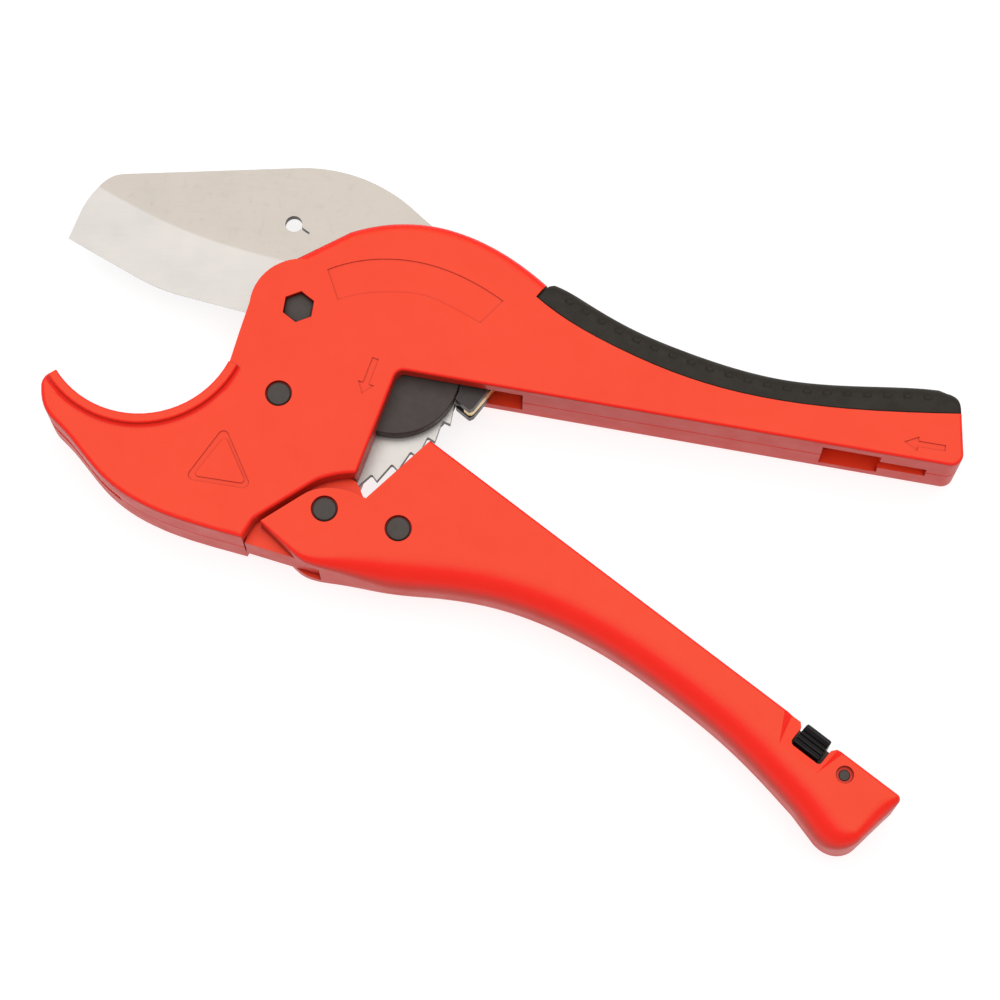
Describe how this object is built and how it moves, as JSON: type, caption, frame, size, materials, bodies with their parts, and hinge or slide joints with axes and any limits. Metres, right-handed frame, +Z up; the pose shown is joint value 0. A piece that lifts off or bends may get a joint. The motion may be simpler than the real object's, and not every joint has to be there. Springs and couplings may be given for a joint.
{
  "type": "pvc pipe cutter",
  "caption": "Ratcheting plastic pipe shears: hooked cast jaw, swinging toothed blade, squeeze handle with pawls, rubber grip and handle latch.",
  "frame": {"origin": "middle of the underside of the whole tool as it lies flat with its handles open", "axes": "+X from the hooked jaw to the handles' free ends, +Y towards the blade's spine, +Z up through the thickness, parallel to every pivot"},
  "size_m": [0.2932, 0.2268, 0.0294],
  "materials": {
    "cast_body": "gloss enamel on die-cast aluminium, fine casting texture under the paint",
    "rubber_grip": "matt moulded rubber",
    "blade_steel": "ground tool steel, brushed across the bevel",
    "dark_steel": "black oxide steel, semi matt",
    "screw_steel": "dull zinc plate",
    "plain_steel": "dull ground steel",
    "spring_brass": "rolled strip",
    "knob_plastic": "moulded, fine grain"
  },
  "bodies": {
    "upper_frame": {"front_shell": "cast_body", "rear_shell": "cast_body", "grip_pad": "rubber_grip", "pivot_bolt": "dark_steel", "pivot_nut": "dark_steel", "pivot_bushing": "plain_steel", "blade_washers": "plain_steel", "jaw_rivet": "dark_steel", "shell_screws": "screw_steel", "front_guard": "dark_steel", "rear_guard": "dark_steel", "stop_pawl_pin": "plain_steel", "stop_pawl_spring": "spring_brass", "handle_spring": "plain_steel"},
    "blade": {"blade": "blade_steel"},
    "lower_handle": {"lower_handle": "cast_body", "handle_pivot_pin": "dark_steel", "drive_pawl_pin": "dark_steel", "drive_pawl_spring": "plain_steel", "latch_pin": "dark_steel", "latch_spring": "plain_steel"},
    "drive_pawl": {"drive_pawl": "plain_steel"},
    "stop_pawl": {"stop_pawl": "dark_steel"},
    "latch": {"latch_hook": "dark_steel", "latch_knob": "knob_plastic"}
  },
  "joints": [
    {"name": "blade_swing", "type": "hinge", "parent": "upper_frame", "child": "blade", "pos_m": [-0.06492, 0.06111, 0.0147], "axis": [0, 0, 1], "range_deg": [-33, 57]},
    {"name": "handle_squeeze", "type": "hinge", "parent": "upper_frame", "child": "lower_handle", "pos_m": [-0.05552, -0.00629, 0.0147], "axis": [0, 0, 1], "range_deg": [0, 26], "stiffness_Nm_per_rad": 1.2, "springref_deg": -20.05, "deforming": ["handle_spring"]},
    {"name": "drive_pawl_swing", "type": "hinge", "parent": "lower_handle", "child": "drive_pawl", "pos_m": [-0.03222, -0.01269, 0.0147], "axis": [0, 0, 1], "range_deg": [-42, 2], "deforming": ["drive_pawl_spring"]},
    {"name": "stop_pawl_swing", "type": "hinge", "parent": "upper_frame", "child": "stop_pawl", "pos_m": [-0.00192, 0.04311, 0.0147], "axis": [0, 0, 1], "range_deg": [0, 10], "stiffness_Nm_per_rad": 0.03, "springref_deg": -11.46, "deforming": ["stop_pawl_spring"]},
    {"name": "latch_swing", "type": "hinge", "parent": "lower_handle", "child": "latch", "pos_m": [0.10568, -0.09119, 0.0147], "axis": [0, 0, 1], "range_deg": [-82.5, 0], "deforming": ["latch_spring"]}
  ],
  "couplings": [
    {"joint": "drive_pawl_swing", "follows": "handle_squeeze", "ratio": -1.5769}
  ]
}
